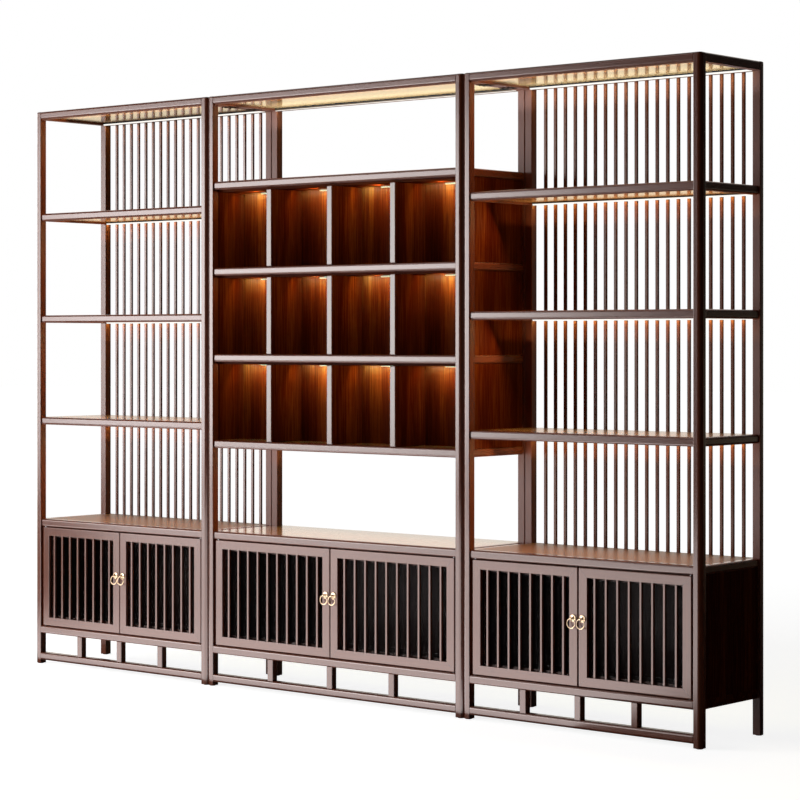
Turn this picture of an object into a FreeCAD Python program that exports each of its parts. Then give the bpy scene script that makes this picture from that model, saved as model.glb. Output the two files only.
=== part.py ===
import FreeCAD, Part
import os
from math import sqrt

Vector = FreeCAD.Vector

# A wall display cabinet of three units side by side. The two side units have open
# shelves in front of a screen of slats, the centre unit has a block of twelve cells,
# and each unit stands on a low cupboard with a pair of barred glass doors.
# X runs along the row from the left end, Y back from the front face, Z up from the
# floor. save() moves the finished pieces to the origin in the middle of the whole floor
# area, which the ring pulls reach out over in front.

# The row and its units
overall_height = 2000.0
side_unit_width = 876.0
centre_unit_width = 1112.0
unit_depth = 345.0
unit_gap = 2.0

# Posts, with a wide round on the outer corner and a small one on the others
post_size = 27.0
post_outer_radius = 13.0
post_edge_radius = 2.0
post_top_radius = 5.0
glide_height = 2.0
glide_diameter = 20.0

# Rails between the posts
rail_height = 27.0
rail_edge_radius = 7.0
rail_end_radius = 1.5
rail_set_back = 5.0

# Heights of the base, the cupboard and the levels above it
base_clearance = 14.0
base_opening = 70.5
door_height = 355.0
door_gap_below = 2.0
door_gap_above = 2.5
side_bay_count = 4
block_base_level = 834.0
block_top_drop = 290.0
block_row_count = 3
cell_count = 4
strut_size = 24.0
strut_count = 3
strut_edge_radius = 3.0

# Boards and panels
board_thickness = 20.0
panel_inset = 9.0
ceiling_thickness = 15.0
cupboard_back_thickness = 6.0
divider_thickness = 24.0
divider_set_back = 2.5
divider_edge_radius = 3.0
divider_end_radius = 2.5
cell_back_distance = 150.0
cell_back_thickness = 9.0

# The screen of slats behind each side unit
slat_count = 20
slat_width = 10.0
slat_depth = 8.0
slat_rear_inset = 4.0
slat_edge_radius = 1.0
slat_end_gap_share = 1.28

# Doors
door_set_back = 5.0
door_thickness = 20.0
door_side_gap = 8.0
door_running_gap = 2.5
door_meeting_gap = 3.0
stile_width = 31.5
door_rail_width = 29.5
door_outer_radius = 3.0
door_inner_radius = 1.5
side_bar_count = 8
centre_bar_count = 10
bar_width = 8.0
bar_depth = 8.0
bar_set_back = 3.0
bar_edge_radius = 1.5
bar_end_gap_share = 0.62
glass_thickness = 4.0
bead_width = 6.0
jamb_depth = 14.0

# Pin hinges at the top and bottom of each door
pin_inset = 7.0
pin_diameter = 4.0
pin_in_rail = 9.0
pin_in_door = 16.0
pin_press_clearance = 0.02
pin_running_clearance = 0.08
pin_end_clearance = 1.0
washer_diameter = 9.0

# Magnetic catches behind the meeting stiles
catch_width = 32.0
catch_depth = 13.0
catch_offset = 34.0
strike_width = 24.0
strike_height = 14.0
strike_thickness = 2.0
strike_drop = 8.0
catch_gap = 0.3

# Ring pulls
pull_height = 343.0
rosette_diameter = 22.0
rosette_thickness = 2.0
rosette_rim_width = 2.5
rosette_rim_height = 1.2
pull_projection = 11.0
eye_diameter = 8.0
eye_bore = 3.8
eye_width = 5.0
stem_diameter = 4.0
ring_diameter = 32.0
ring_wire = 3.0

# Light strips under the rear edge of the boards
channel_depth = 12.0
channel_height = 4.0
diffuser_depth = 9.0
diffuser_height = 4.5
diffuser_edge_radius = 2.0
cell_light_length = 64.0
driver_length = 160.0
driver_depth = 40.0
driver_height = 25.0

# Plates and screws that join the units
plate_length = 40.0
plate_overlap = 20.0
plate_thickness = 2.0
screw_diameter = 4.0
screw_length = 14.0
screw_head_diameter = 7.5
screw_head_height = 2.0
screw_clearance = 0.1
screw_edge_distance = 9.0
plate_place_shares = (0.3, 0.7)

half = 0.5

# Levels worked out from the sizes above
base_rail_bottom = base_clearance
upper_base_bottom = base_rail_bottom + rail_height + base_opening
floor_level = upper_base_bottom + rail_height
door_bottom = floor_level + door_gap_below
door_top = door_bottom + door_height
counter_level = door_top + door_gap_above + rail_height
side_pitch = (overall_height - counter_level) / side_bay_count
side_levels = [counter_level + side_pitch * bay for bay in range(1, side_bay_count)]
block_pitch = (overall_height - block_top_drop - block_base_level) / block_row_count
block_levels = [block_base_level + block_pitch * row for row in range(block_row_count + 1)]
ceiling_drop = board_thickness + ceiling_thickness
slat_front = unit_depth - slat_rear_inset - slat_depth
row_width = 2 * side_unit_width + centre_unit_width + 2 * unit_gap
door_front = door_set_back
door_back = door_front + door_thickness
pull_reach = pull_projection + eye_diameter * half - door_front
rear_post_front = unit_depth - post_size

# Each unit: name, left end, width, bars in a door, levels of the open boards
centre_left = side_unit_width + unit_gap
right_left = centre_left + centre_unit_width + unit_gap
units = [
    ("left", 0.0, side_unit_width, side_bar_count, side_levels),
    ("centre", centre_left, centre_unit_width, centre_bar_count, block_levels),
    ("right", right_left, side_unit_width, side_bar_count, side_levels),
]


def block(x0, x1, y0, y1, z0, z1):
    return Part.makeBox(x1 - x0, y1 - y0, z1 - z0, Vector(x0, y0, z0))


def rounded_face(width, depth, radii, place):
    # A rectangle from (0, 0) to (width, depth), each corner with its own radius;
    # place turns a point of the rectangle into a point in space
    corners = [(0, 0), (width, 0), (width, depth), (0, depth)]
    ahead = [(1, 0), (0, 1), (-1, 0), (0, -1)]
    starts = []
    edges = []
    for index, (cx, cy) in enumerate(corners):
        radius = radii[index]
        before = ahead[index - 1]
        after = ahead[index]
        arc_start = (cx - before[0] * radius, cy - before[1] * radius)
        arc_end = (cx + after[0] * radius, cy + after[1] * radius)
        bulge = radius - radius / sqrt(2)
        middle = (cx + (after[0] - before[0]) * bulge, cy + (after[1] - before[1]) * bulge)
        starts.append((arc_start, middle, arc_end, radius))
    for index, (arc_start, middle, arc_end, radius) in enumerate(starts):
        if radius > 0:
            arc = Part.Arc(place(*arc_start), place(*middle), place(*arc_end))
            edges.append(arc.toShape())
        following = starts[(index + 1) % len(starts)][0]
        edges.append(Part.LineSegment(place(*arc_end), place(*following)).toShape())
    return Part.Face(Part.Wire(edges))


def upright(x0, y0, z0, width, depth, height, radii):
    # A vertical bar; radii go round from the front left corner to the front right
    outline = rounded_face(width, depth, radii, lambda a, b: Vector(x0 + a, y0 + b, z0))
    return outline.extrude(Vector(0, 0, height))


def front_rail(x0, x1, y0, y1, top):
    # A rail along the row, rounded on its front edges and at the front of its ends
    bottom = top - rail_height
    radii = (rail_edge_radius, 0, 0, rail_edge_radius)
    outline = rounded_face(y1 - y0, rail_height, radii, lambda a, b: Vector(x0, y0 + a, bottom + b))
    bar = outline.extrude(Vector(x1 - x0, 0, 0))
    rims = []
    for edge in bar.Edges:
        middle = edge.BoundBox.Center
        at_end = min(middle.x - x0, x1 - middle.x) < rail_end_radius * half
        at_rear = middle.y > y1 - rail_end_radius * half
        if at_end and not at_rear:
            rims.append(edge)
    return bar.makeFillet(rail_end_radius, rims)


def rear_rail(x0, x1, top):
    outline = rounded_face(post_size, rail_height, (0, 0, rail_edge_radius, 0),
                           lambda a, b: Vector(x0, rear_post_front + a, top - rail_height + b))
    return outline.extrude(Vector(x1 - x0, 0, 0))


def side_rail(outer, inner, top, flush):
    # A rail from the front post to the rear post, rounded on its outer edges
    low = min(outer, inner)
    radius = rail_edge_radius
    bottom_radius = rail_edge_radius
    if flush:
        bottom_radius = 0
    if outer < inner:
        radii = (bottom_radius, 0, 0, radius)
    else:
        radii = (0, bottom_radius, radius, 0)
    outline = rounded_face(abs(inner - outer), rail_height, radii,
                           lambda a, b: Vector(low + a, post_size, top - rail_height + b))
    return outline.extrude(Vector(0, rear_post_front - post_size, 0))


def make_posts(left, width):
    # One front left post; its mirror images are the other three
    outer = post_outer_radius
    small = post_edge_radius
    height = overall_height - glide_height
    radii = (outer, small, small, small)
    post = upright(left, 0, glide_height, post_size, post_size, height, radii)
    rim = []
    for edge in post.Edges:
        middle = edge.BoundBox.Center
        on_top = edge.BoundBox.ZMin > overall_height - small
        outside = middle.x < left + outer or middle.y < outer
        inside = middle.x > left + post_size - small or middle.y > post_size - small
        if on_top and outside and not inside:
            rim.append(edge)
    post = post.makeFillet(post_top_radius, rim)
    centre = Vector(left + width * half, unit_depth * half, 0)
    front = [post, post.mirror(centre, Vector(1, 0, 0))]
    return front + [piece.mirror(centre, Vector(0, 1, 0)) for piece in front]


def make_rails(left, width, levels):
    # Top frame, one frame at each open level, and the frame of the cupboard's top
    right = left + width
    inner_left = left + post_size
    inner_right = right - post_size
    rails = []
    rails.append(front_rail(inner_left, inner_right, 0, post_size, overall_height))
    rails.append(rear_rail(inner_left, inner_right, overall_height))
    rails.append(side_rail(left, inner_left, overall_height, True))
    rails.append(side_rail(right, inner_right, overall_height, True))
    for level in [counter_level] + levels:
        rails.append(front_rail(inner_left, inner_right, rail_set_back, post_size, level))
        rails.append(side_rail(left + rail_set_back, inner_left, level, False))
        rails.append(side_rail(right - rail_set_back, inner_right, level, False))
    return rails


def make_base_rails(left, width):
    inner_left = left + post_size
    inner_right = left + width - post_size
    lower_top = base_rail_bottom + rail_height
    return [front_rail(inner_left, inner_right, 0, post_size, top)
            for top in (lower_top, floor_level)]


def make_struts(left, width):
    inner = width - 2 * post_size
    struts = []
    for index in range(1, strut_count + 1):
        centre = left + post_size + inner * index / (strut_count + 1)
        corner = centre - strut_size * half
        inset = (post_size - strut_size) * half
        radii = (strut_edge_radius, strut_edge_radius, strut_edge_radius, strut_edge_radius)
        struts.append(upright(corner, inset, base_rail_bottom + rail_height,
                              strut_size, strut_size, base_opening, radii))
    return struts


def make_boards(left, width, levels, has_screen):
    # The top panel, the open boards and the cupboard's top, set behind their rails
    inner_left = left + post_size
    inner_right = left + width - post_size
    rear = unit_depth
    if has_screen:
        rear = slat_front
    boards = [block(inner_left, inner_right, post_size, rear_post_front,
                    overall_height - board_thickness, overall_height)]
    for level in levels:
        boards.append(block(inner_left, inner_right, post_size, rear, level - board_thickness, level))
    boards.append(block(inner_left, inner_right, post_size, unit_depth,
                        counter_level - board_thickness, counter_level))
    return boards


def make_slats(left, width):
    inner = width - 2 * post_size
    clear = (inner - slat_count * slat_width) / (slat_count - 1 + 2 * slat_end_gap_share)
    first = left + post_size + clear * slat_end_gap_share
    height = overall_height - rail_height - counter_level
    radii = (slat_edge_radius, slat_edge_radius, slat_edge_radius, slat_edge_radius)
    return [upright(first + (slat_width + clear) * index, slat_front, counter_level,
                    slat_width, slat_depth, height, radii) for index in range(slat_count)]


def make_carcass(left, width):
    # The cupboard's sides, its floor, and a jamb strip beside each door
    inner_left = left + post_size
    inner_right = left + width - post_size
    side_top = counter_level - rail_height
    pieces = []
    for outer, inner in ((left + panel_inset, inner_left), (left + width - panel_inset, inner_right)):
        pieces.append(block(min(outer, inner), max(outer, inner), post_size, rear_post_front,
                            upper_base_bottom, side_top))
    pieces.append(block(inner_left, inner_right, post_size, unit_depth - cupboard_back_thickness,
                        floor_level - board_thickness, floor_level))
    jamb_width = door_side_gap - door_running_gap
    jamb_front = door_front + door_outer_radius
    for corner in (inner_left, inner_right - jamb_width):
        pieces.append(block(corner, corner + jamb_width, jamb_front, jamb_front + jamb_depth,
                            floor_level, side_top))
    return pieces


def make_cupboard_back(left, width):
    return block(left + post_size, left + width - post_size, unit_depth - cupboard_back_thickness,
                 unit_depth, floor_level - board_thickness, counter_level - board_thickness)


def make_block_sides(left, width):
    # Panels that close the ends of the cell block, one between each pair of side rails
    panels = []
    for level in block_levels[1:]:
        top = level - rail_height
        bottom = level - block_pitch
        for outer, inner in ((left + panel_inset, left + post_size),
                             (left + width - panel_inset, left + width - post_size)):
            panels.append(block(min(outer, inner), max(outer, inner), post_size, rear_post_front,
                                bottom, top))
    return panels


def cell_spans(left, width):
    # The clear width of each cell in a row, from left to right
    inner_left = left + post_size
    inner = width - 2 * post_size
    cell_width = (inner - (cell_count - 1) * divider_thickness) / cell_count
    spans = []
    for index in range(cell_count):
        start = inner_left + (cell_width + divider_thickness) * index
        spans.append((start, start + cell_width))
    return spans


def make_dividers(left, width):
    # Each stands on the board below it and reaches the ceiling, rounded all round its front
    spans = cell_spans(left, width)
    rounding = divider_edge_radius
    dividers = []
    for level in block_levels[:-1]:
        for start, end in spans[:-1]:
            divider = upright(end, divider_set_back, level, divider_thickness,
                              cell_back_distance - divider_set_back, block_pitch - ceiling_drop,
                              (rounding, rounding, 0, 0))
            rims = []
            for edge in divider.Edges:
                box = edge.BoundBox
                across = box.ZMax - box.ZMin < rounding * half
                if across and box.Center.y < divider_set_back + rounding:
                    rims.append(edge)
            dividers.append(divider.makeFillet(divider_end_radius, rims))
    return dividers


def make_cell_ceilings(left, width):
    # A dark sheet under each board of the block, which the dividers reach and the lights hang on
    return [block(left + post_size, left + width - post_size, post_size, cell_back_distance,
                  level - ceiling_drop, level - board_thickness)
            for level in block_levels[1:]]


def make_cell_backs(left, width):
    # One sheet behind each row of cells, between the boards
    return [block(left + post_size, left + width - post_size, cell_back_distance,
                  cell_back_distance + cell_back_thickness, level, level + block_pitch - board_thickness)
            for level in block_levels[:-1]]


def light_runs():
    # Every long light strip: left end, right end, rear face and the underside that carries it
    runs = []
    for name, left, width, bars, levels in units:
        inner_left = left + post_size
        inner_right = left + width - post_size
        runs.append((inner_left, inner_right, rear_post_front, overall_height - board_thickness))
        if name == "centre":
            runs.append((inner_left, inner_right, slat_front, levels[0] - board_thickness))
        else:
            for level in levels:
                runs.append((inner_left, inner_right, slat_front, level - board_thickness))
    return runs


def make_channels():
    return [block(start, end, rear - channel_depth, rear, underside - channel_height, underside)
            for start, end, rear, underside in light_runs()]


def diffuser_bar(start, end, rear, top):
    # A lit bar whose lower edges are rounded
    front = rear - (channel_depth + diffuser_depth) * half
    radii = (diffuser_edge_radius, diffuser_edge_radius, 0, 0)
    outline = rounded_face(diffuser_depth, diffuser_height, radii,
                           lambda a, b: Vector(start, front + a, top - diffuser_height + b))
    return outline.extrude(Vector(end - start, 0, 0))


def make_diffusers(left, width):
    # One along each channel, and a short one under the ceiling in the middle of each cell
    strips = [diffuser_bar(start, end, rear, underside - channel_height)
              for start, end, rear, underside in light_runs()]
    for level in block_levels[1:]:
        for start, end in cell_spans(left, width):
            middle = (start + end) * half
            strips.append(diffuser_bar(middle - cell_light_length * half, middle + cell_light_length * half,
                                       cell_back_distance, level - ceiling_drop))
    return strips


def make_drivers():
    # A power supply for the lights, under the top of each cupboard at the rear
    drivers = []
    rear = unit_depth - cupboard_back_thickness
    top = counter_level - board_thickness
    for name, left, width, bars, levels in units:
        start = left + (width - driver_length) * half
        drivers.append(block(start, start + driver_length, rear - driver_depth, rear,
                             top - driver_height, top))
    return drivers


def make_glides():
    glides = []
    inset = post_size * half
    for name, left, width, bars, levels in units:
        for x in (left + inset, left + width - inset):
            for y in (inset, unit_depth - inset):
                glides.append(Part.makeCylinder(glide_diameter * half, glide_height, Vector(x, y, 0)))
    return glides


def door_places():
    # Every door: name, left edge, right edge, x of its hinge pin, side it meets, bars
    doors = []
    for name, left, width, bars, levels in units:
        inner = width - 2 * post_size
        door_width = (inner - 2 * door_side_gap - door_meeting_gap) * half
        start = left + post_size + door_side_gap
        end = left + width - post_size - door_side_gap
        doors.append((name + "_unit_left_door", start, start + door_width, start + pin_inset, 1, bars))
        doors.append((name + "_unit_right_door", end - door_width, end, end - pin_inset, -1, bars))
    return doors


def pin_axis(pin_x):
    return pin_x, door_front + pin_inset


def pin_hole(pin_x, low, high, clearance):
    x, y = pin_axis(pin_x)
    return Part.makeCylinder(pin_diameter * half + clearance, high - low, Vector(x, y, low))


def cut_pin_holes(rails, low, high):
    # Drills the hinge pins' holes in the rails that they reach into
    drilled = []
    for rail in rails:
        for name, start, end, pin_x, meets, bars in door_places():
            x, y = pin_axis(pin_x)
            box = rail.BoundBox
            inside = box.XMin < x < box.XMax and box.YMin < y < box.YMax
            if inside and box.ZMin < high and box.ZMax > low:
                rail = rail.cut(pin_hole(pin_x, low, high, pin_press_clearance))
        drilled.append(rail)
    return drilled


def make_pins():
    # A steel pin above and below each door, pressed into the rails
    pins = []
    for name, start, end, pin_x, meets, bars in door_places():
        pins.append(pin_hole(pin_x, floor_level - pin_in_rail, door_bottom + pin_in_door, 0))
        pins.append(pin_hole(pin_x, door_top - pin_in_door, door_top + door_gap_above + pin_in_rail, 0))
    return pins


def make_washers():
    # The door's weight rests on a thin washer round its lower pin
    washers = []
    for name, start, end, pin_x, meets, bars in door_places():
        x, y = pin_axis(pin_x)
        disc = Part.makeCylinder(washer_diameter * half, door_gap_below, Vector(x, y, floor_level))
        washers.append(disc.cut(pin_hole(pin_x, floor_level, door_bottom, pin_running_clearance)))
    return washers


def mitred_member(points, round_edges):
    # A frame member: its outline in the door's plane, extruded to the door's thickness
    loop = [Vector(x, door_front, z) for x, z in points]
    face = Part.Face(Part.makePolygon(loop + loop[:1]))
    member = face.extrude(Vector(0, door_thickness, 0))
    for radius, (ax, az), (bx, bz) in round_edges:
        middle = Vector((ax + bx) * half, door_front, (az + bz) * half)
        picked = [edge for edge in member.Edges if edge.BoundBox.Center.distanceToPoint(middle) < radius]
        member = member.makeFillet(radius, picked)
    return member


def make_door_frame(start, end, pin_x):
    # Two stiles and two rails with mitred corners, and the beads that hold the glass
    outer = [(start, door_bottom), (end, door_bottom), (end, door_top), (start, door_top)]
    inner_left = start + stile_width
    inner_right = end - stile_width
    inner_bottom = door_bottom + door_rail_width
    inner_top = door_top - door_rail_width
    inner = [(inner_left, inner_bottom), (inner_right, inner_bottom),
             (inner_right, inner_top), (inner_left, inner_top)]
    members = []
    for index in range(len(outer)):
        following = (index + 1) % len(outer)
        points = [outer[index], outer[following], inner[following], inner[index]]
        rounding = [(door_outer_radius, outer[index], outer[following]),
                    (door_inner_radius, inner[index], inner[following])]
        members.append(mitred_member(points, rounding))
    reach = pin_in_door + pin_end_clearance
    lower_bore = pin_hole(pin_x, door_bottom, door_bottom + reach, pin_running_clearance)
    upper_bore = pin_hole(pin_x, door_top - reach, door_top, pin_running_clearance)
    members = [member.cut(lower_bore).cut(upper_bore) for member in members]
    bead_front = door_front + bar_set_back + bar_depth + glass_thickness
    beads = []
    for corner in (inner_left, inner_right - bead_width):
        beads.append(block(corner, corner + bead_width, bead_front, door_back, inner_bottom, inner_top))
    for level in (inner_bottom, inner_top - bead_width):
        beads.append(block(inner_left + bead_width, inner_right - bead_width, bead_front, door_back,
                           level, level + bead_width))
    return members + beads


def make_door_bars(start, end, count):
    opening = end - start - 2 * stile_width
    clear = (opening - count * bar_width) / (count - 1 + 2 * bar_end_gap_share)
    first = start + stile_width + clear * bar_end_gap_share
    height = door_height - 2 * door_rail_width
    radii = (bar_edge_radius, bar_edge_radius, 0, 0)
    return [upright(first + (bar_width + clear) * index, door_front + bar_set_back,
                    door_bottom + door_rail_width, bar_width, bar_depth, height, radii)
            for index in range(count)]


def make_door_glass(start, end):
    front = door_front + bar_set_back + bar_depth
    return block(start + stile_width, end - stile_width, front, front + glass_thickness,
                 door_bottom + door_rail_width, door_top - door_rail_width)


def pull_centre(start, end, meets):
    # The pull sits in the middle of the stile that meets the other door
    if meets > 0:
        return end - stile_width * half
    return start + stile_width * half


def make_pull_plate(x):
    # A round rosette with a raised rim, and a stem that ends in an eye for the ring
    toward_room = Vector(0, -1, 0)
    face = Vector(x, door_front, pull_height)
    disc = Part.makeCylinder(rosette_diameter * half, rosette_thickness, face, toward_room)
    rim_reach = rosette_thickness + rosette_rim_height
    rim_inner = rosette_diameter * half - rosette_rim_width
    rim = Part.makeCylinder(rosette_diameter * half, rim_reach, face, toward_room)
    rim = rim.cut(Part.makeCylinder(rim_inner, rim_reach, face, toward_room))
    stem = Part.makeCylinder(stem_diameter * half, pull_projection, face, toward_room)
    eye_end = Vector(x - eye_width * half, door_front - pull_projection, pull_height)
    eye = Part.makeCylinder(eye_diameter * half, eye_width, eye_end, Vector(1, 0, 0))
    hole_end = Vector(x - eye_width, door_front - pull_projection, pull_height)
    hole = Part.makeCylinder(eye_bore * half, 2 * eye_width, hole_end, Vector(1, 0, 0))
    return disc.fuse([rim, stem, eye]).cut(hole).removeSplitter()


def make_strike(start, end, meets):
    centre = catch_centre(start, end, meets)
    top = door_top - strike_drop
    return block(centre - strike_width * half, centre + strike_width * half,
                 door_back, door_back + strike_thickness, top - strike_height, top)


def catch_centre(start, end, meets):
    if meets > 0:
        return end - catch_offset
    return start + catch_offset


def make_catches():
    # A magnetic catch for each door, fixed to the underside of the cupboard's top
    catches = []
    front = door_back + strike_thickness + catch_gap
    bottom = door_top - strike_drop - strike_height
    for name, start, end, pin_x, meets, bars in door_places():
        centre = catch_centre(start, end, meets)
        catches.append(block(centre - catch_width * half, centre + catch_width * half,
                             front, front + catch_depth, bottom, counter_level - board_thickness))
    return catches


def make_ring(x):
    # Hangs from the eye, in a plane that faces the room
    mean_radius = (ring_diameter - ring_wire) * half
    centre = Vector(x, door_front - pull_projection, pull_height - mean_radius)
    return Part.makeTorus(mean_radius, ring_wire * half, centre, Vector(0, 1, 0))


def plate_places():
    # Every joining plate: left end, right end, front, underside that it is screwed to
    places = []
    run = rear_post_front - post_size
    for joint in (side_unit_width, centre_left + centre_unit_width):
        for underside, reach in ((overall_height - rail_height, plate_overlap),
                                 (upper_base_bottom, plate_overlap + panel_inset)):
            for share in plate_place_shares:
                front = post_size + run * share - plate_length * half
                places.append((joint - reach, joint + unit_gap + reach, front, underside))
    return places


def screw_places():
    # Four screws in each plate, near its corners
    places = []
    for start, end, front, underside in plate_places():
        for x in (start + screw_edge_distance, end - screw_edge_distance):
            for y in (front + screw_edge_distance, front + plate_length - screw_edge_distance):
                places.append((x, y, underside))
    return places


def screw_shaft(x, y, underside, clearance):
    reach = plate_thickness + screw_length
    return Part.makeCylinder(screw_diameter * half + clearance, reach + clearance,
                             Vector(x, y, underside - plate_thickness))


def drill_screw_holes(pieces):
    drilled = []
    for piece in pieces:
        box = piece.BoundBox
        for x, y, underside in screw_places():
            inside = box.XMin < x < box.XMax and box.YMin < y < box.YMax
            touches = box.ZMin < underside + screw_length and box.ZMax > underside - plate_thickness
            if inside and touches:
                piece = piece.cut(screw_shaft(x, y, underside, screw_clearance))
        drilled.append(piece)
    return drilled


def make_plates():
    plates = [block(start, end, front, front + plate_length, underside - plate_thickness, underside)
              for start, end, front, underside in plate_places()]
    return drill_screw_holes(plates)


def make_screws():
    screws = []
    for x, y, underside in screw_places():
        low = underside - plate_thickness
        head = Part.makeCylinder(screw_head_diameter * half, screw_head_height,
                                 Vector(x, y, low - screw_head_height))
        screws.append(head.fuse(screw_shaft(x, y, underside, 0)))
    return screws


def save(name, solids):
    group = Part.makeCompound(solids)
    group.translate(Vector(-row_width * half, (pull_reach - unit_depth) * half, 0))
    group.exportStep("parts/" + name + ".step")


os.makedirs("parts", exist_ok=True)

base_rails = []
struts = []
cupboard_backs = []
for name, left, width, bars, levels in units:
    rails = make_rails(left, width, levels)
    rails = cut_pin_holes(rails, door_top, door_top + door_gap_above + pin_in_rail + pin_press_clearance)
    carcass = make_carcass(left, width)
    save(name + "_posts", make_posts(left, width))
    save(name + "_rails", drill_screw_holes(rails))
    save(name + "_boards", make_boards(left, width, levels, name != "centre"))
    save(name + "_cupboard", drill_screw_holes(carcass))
    base_rails += make_base_rails(left, width)
    struts += make_struts(left, width)
    cupboard_backs.append(make_cupboard_back(left, width))

lowest = floor_level - pin_in_rail - pin_press_clearance
save("base_rails", cut_pin_holes(base_rails, lowest, floor_level))
save("base_struts", struts)
save("cupboard_backs", cupboard_backs)
save("left_slats", make_slats(0.0, side_unit_width))
save("right_slats", make_slats(right_left, side_unit_width))
save("cell_dividers", make_dividers(centre_left, centre_unit_width))
save("cell_backs", make_cell_backs(centre_left, centre_unit_width))
save("cell_ceilings", make_cell_ceilings(centre_left, centre_unit_width))
save("block_side_panels", make_block_sides(centre_left, centre_unit_width))
save("light_channels", make_channels())
save("light_diffusers", make_diffusers(centre_left, centre_unit_width))
save("light_drivers", make_drivers())
save("foot_glides", make_glides())
save("door_catches", make_catches())
save("hinge_pins", make_pins())
save("hinge_washers", make_washers())
save("joining_plates", make_plates())
save("joining_screws", make_screws())

for name, start, end, pin_x, meets, bars in door_places():
    pull_x = pull_centre(start, end, meets)
    save(name + "_frame", make_door_frame(start, end, pin_x))
    save(name + "_bars", make_door_bars(start, end, bars))
    save(name + "_glass", [make_door_glass(start, end)])
    save(name + "_fittings", [make_pull_plate(pull_x), make_strike(start, end, meets)])
    save(name + "_ring", [make_ring(pull_x)])
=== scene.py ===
import math

import bpy
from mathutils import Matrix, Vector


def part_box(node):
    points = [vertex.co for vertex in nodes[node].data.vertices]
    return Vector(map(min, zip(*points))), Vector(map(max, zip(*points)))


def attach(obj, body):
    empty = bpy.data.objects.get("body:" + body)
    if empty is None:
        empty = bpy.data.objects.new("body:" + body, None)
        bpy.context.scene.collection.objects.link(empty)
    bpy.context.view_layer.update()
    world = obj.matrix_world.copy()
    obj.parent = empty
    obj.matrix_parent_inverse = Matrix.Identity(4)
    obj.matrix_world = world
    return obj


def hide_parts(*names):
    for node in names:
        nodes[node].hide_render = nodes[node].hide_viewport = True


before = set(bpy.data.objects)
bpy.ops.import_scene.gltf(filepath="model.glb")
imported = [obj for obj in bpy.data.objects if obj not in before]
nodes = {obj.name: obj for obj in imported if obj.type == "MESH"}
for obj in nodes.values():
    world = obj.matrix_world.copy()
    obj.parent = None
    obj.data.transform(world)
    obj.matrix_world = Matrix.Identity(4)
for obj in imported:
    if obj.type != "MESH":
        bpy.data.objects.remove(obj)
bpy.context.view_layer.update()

units = ["left", "centre", "right"]
doors = [unit + "_unit_" + side + "_door" for unit in units for side in ("left", "right")]
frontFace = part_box("left_posts")[0].y
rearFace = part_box("left_posts")[1].y
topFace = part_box("left_posts")[1].z
postSize = 0.027


# Shader helpers
def addNode(tree, kind, place=(0, 0), **settings):
    node = tree.nodes.new(kind)
    node.location = place
    for name, value in settings.items():
        setattr(node, name, value)
    return node


def setInputs(node, values):
    for name, value in values.items():
        node.inputs[name].default_value = value


def join(tree, source, target):
    tree.links.new(source, target)


def mathNode(tree, operation, first, second=None):
    node = addNode(tree, "ShaderNodeMath", operation=operation)
    for socket, value in zip(node.inputs, (first, second)):
        if value is None:
            continue
        if isinstance(value, (int, float)):
            socket.default_value = value
        else:
            join(tree, value, socket)
    return node.outputs[0]


def spreadValue(tree, value, low, high, start=0.0, end=1.0):
    node = addNode(tree, "ShaderNodeMapRange")
    setInputs(node, {"From Min": low, "From Max": high, "To Min": start, "To Max": end})
    join(tree, value, node.inputs["Value"])
    return node.outputs["Result"]


def mixColors(tree, factor, first, second):
    node = addNode(tree, "ShaderNodeMix", data_type="RGBA")
    for name, value in (("Factor", factor), ("A", first), ("B", second)):
        socket = [entry for entry in node.inputs if entry.name == name and entry.enabled][0]
        if isinstance(value, (int, float, tuple)):
            socket.default_value = value
        else:
            join(tree, value, socket)
    return [entry for entry in node.outputs if entry.enabled][0]


def startMaterial(name, shaderValues):
    material = bpy.data.materials.new(name)
    material.use_nodes = True
    tree = material.node_tree
    shader = tree.nodes["Principled BSDF"]
    setInputs(shader, shaderValues)
    return material, tree, shader


def dress(names, material):
    # Puts one material on every slot of the named CAD nodes
    for name in names:
        piece = nodes[name]
        if not piece.material_slots:
            piece.data.materials.append(material)
        for slot in piece.material_slots:
            slot.material = material


# Wood, as a group that every wooden part uses with its own colours
grainShape = {
    "band": {"Detail": 3.0, "Roughness": 0.55, "Distortion": 0.35}, "bandSpread": (0.34, 0.66),
    "line": {"Detail": 4.0, "Roughness": 0.65, "Distortion": 0.2}, "lineSpread": (0.36, 0.64),
    "pore": {"Detail": 1.0, "Roughness": 0.5}, "poreSpread": (0.62, 0.74), "poreScale": 3.2,
    "bandShare": 0.62, "lineShare": 0.38, "poreDepth": 0.45, "middleLevel": 0.5, "lineHeight": 0.4,
    "alongGrain": 0.035,
}


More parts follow.
